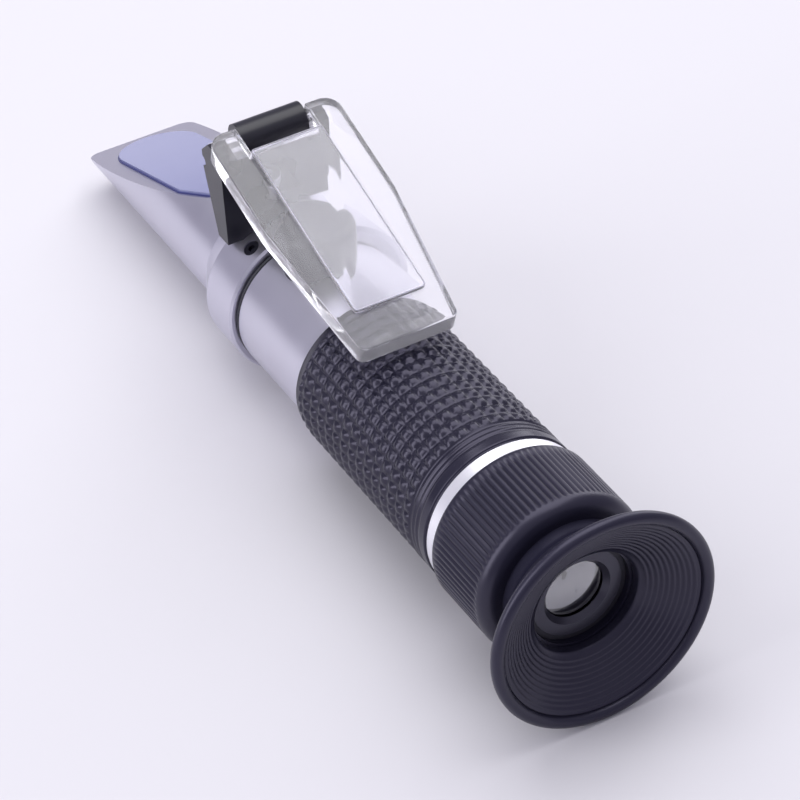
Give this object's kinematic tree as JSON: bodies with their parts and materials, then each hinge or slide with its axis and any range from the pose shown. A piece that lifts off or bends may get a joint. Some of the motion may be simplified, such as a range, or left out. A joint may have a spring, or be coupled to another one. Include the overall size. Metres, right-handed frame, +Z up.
{
  "type": "handheld refractometer",
  "caption": "Handheld optical refractometer with a slanted prism, hinged clear cover plate, rubber grip, focusing eyepiece and flared eyecup.",
  "frame": {"origin": "on the table, below the middle of the instrument's length and width as it lies", "axes": "+Y from the eyecup to the prism end, +Z up, +X across; the optical axis leans 3.2 degrees down towards the prism"},
  "size_m": [0.04, 0.164, 0.0486],
  "materials": {
    "black_rubber": "smooth moulded rubber, soft sheen",
    "grip_rubber": "ribbed moulded rubber, matt",
    "black_plastic": "moulded black plastic, fine texture",
    "black_metal": "black anodised, matt",
    "steel": "plain steel",
    "black_steel": "blackened steel",
    "optical_glass": "polished, coated",
    "prism_glass": "polished, pale blue",
    "satin_aluminium": "satin anodised",
    "bright_aluminium": "bright turned",
    "plated_casting": "satin plated casting",
    "bimetal": "rolled strip",
    "seal_rubber": "dark blue sealing bead",
    "clear_acrylic": "clear acrylic with a frosted pad"
  },
  "bodies": {
    "frame": {"main_tube": "satin_aluminium", "trim_ring": "bright_aluminium", "grip_sleeve": "grip_rubber", "reticle_cell": "black_metal", "reticle": "optical_glass", "reticle_lock_ring": "black_metal", "light_baffle": "black_plastic", "carrier_spring": "steel", "bimetal_strip": "bimetal", "bimetal_screw": "steel", "calibration_boss": "satin_aluminium", "tube_seal": "black_rubber", "prism_head": "plated_casting", "main_prism": "prism_glass", "prism_seal": "seal_rubber", "collar_set_screws": "black_steel", "hinge_bracket": "black_plastic", "bracket_screw": "steel", "hinge_pin": "steel"},
    "ocular": {"ocular_cell": "black_metal", "focus_key": "steel", "eye_lens": "optical_glass", "eye_lens_retainer": "black_plastic", "lens_spacer": "black_metal", "field_lens": "optical_glass", "ocular_lock_ring": "black_metal"},
    "focus_knob": {"focus_ring": "black_plastic", "eyecup": "black_rubber"},
    "objective": {"objective_cell": "black_metal", "objective_lens": "optical_glass", "objective_lock_ring": "black_metal"},
    "adjuster": {"calibration_screw": "steel"},
    "cap": {"calibration_cap": "black_rubber"},
    "cover": {"cover_plate": "clear_acrylic"}
  },
  "joints": [
    {"name": "cover_hinge", "type": "hinge", "parent": "frame", "child": "cover", "pos_m": [0, 0.03144, 0.03953], "axis": [-1, 0, 0], "range_deg": [0, 217.4]},
    {"name": "focus_slide", "type": "slide", "parent": "frame", "child": "ocular", "axis": [0, -0.9985, 0.0552], "range_m": [0, 0.00401]},
    {"name": "focus_turn", "type": "hinge", "parent": "ocular", "child": "focus_knob", "pos_m": [0, -0.06097, 0.01893], "axis": [0, -0.9985, 0.0552], "range_deg": [0, 120]},
    {"name": "calibration_slide", "type": "slide", "parent": "frame", "child": "objective", "axis": [0, 0.0552, 0.9985], "range_m": [-0.0005, 0.0005], "deforming": ["carrier_spring"]},
    {"name": "calibration_turn", "type": "hinge", "parent": "objective", "child": "adjuster", "pos_m": [0, 0.01064, 0.02799], "axis": [0, 0.0552, 0.9985], "range_deg": [-361, 361]},
    {"name": "calibration_cap_pull", "type": "slide", "parent": "frame", "child": "cap", "axis": [0, 0.0552, 0.9985], "range_m": [0, 0.0033]}
  ],
  "couplings": [
    {"joint": "focus_slide", "follows": "focus_turn", "m_per_rad": 0.0019099},
    {"joint": "calibration_turn", "follows": "calibration_slide", "rad_per_m": 12566}
  ]
}
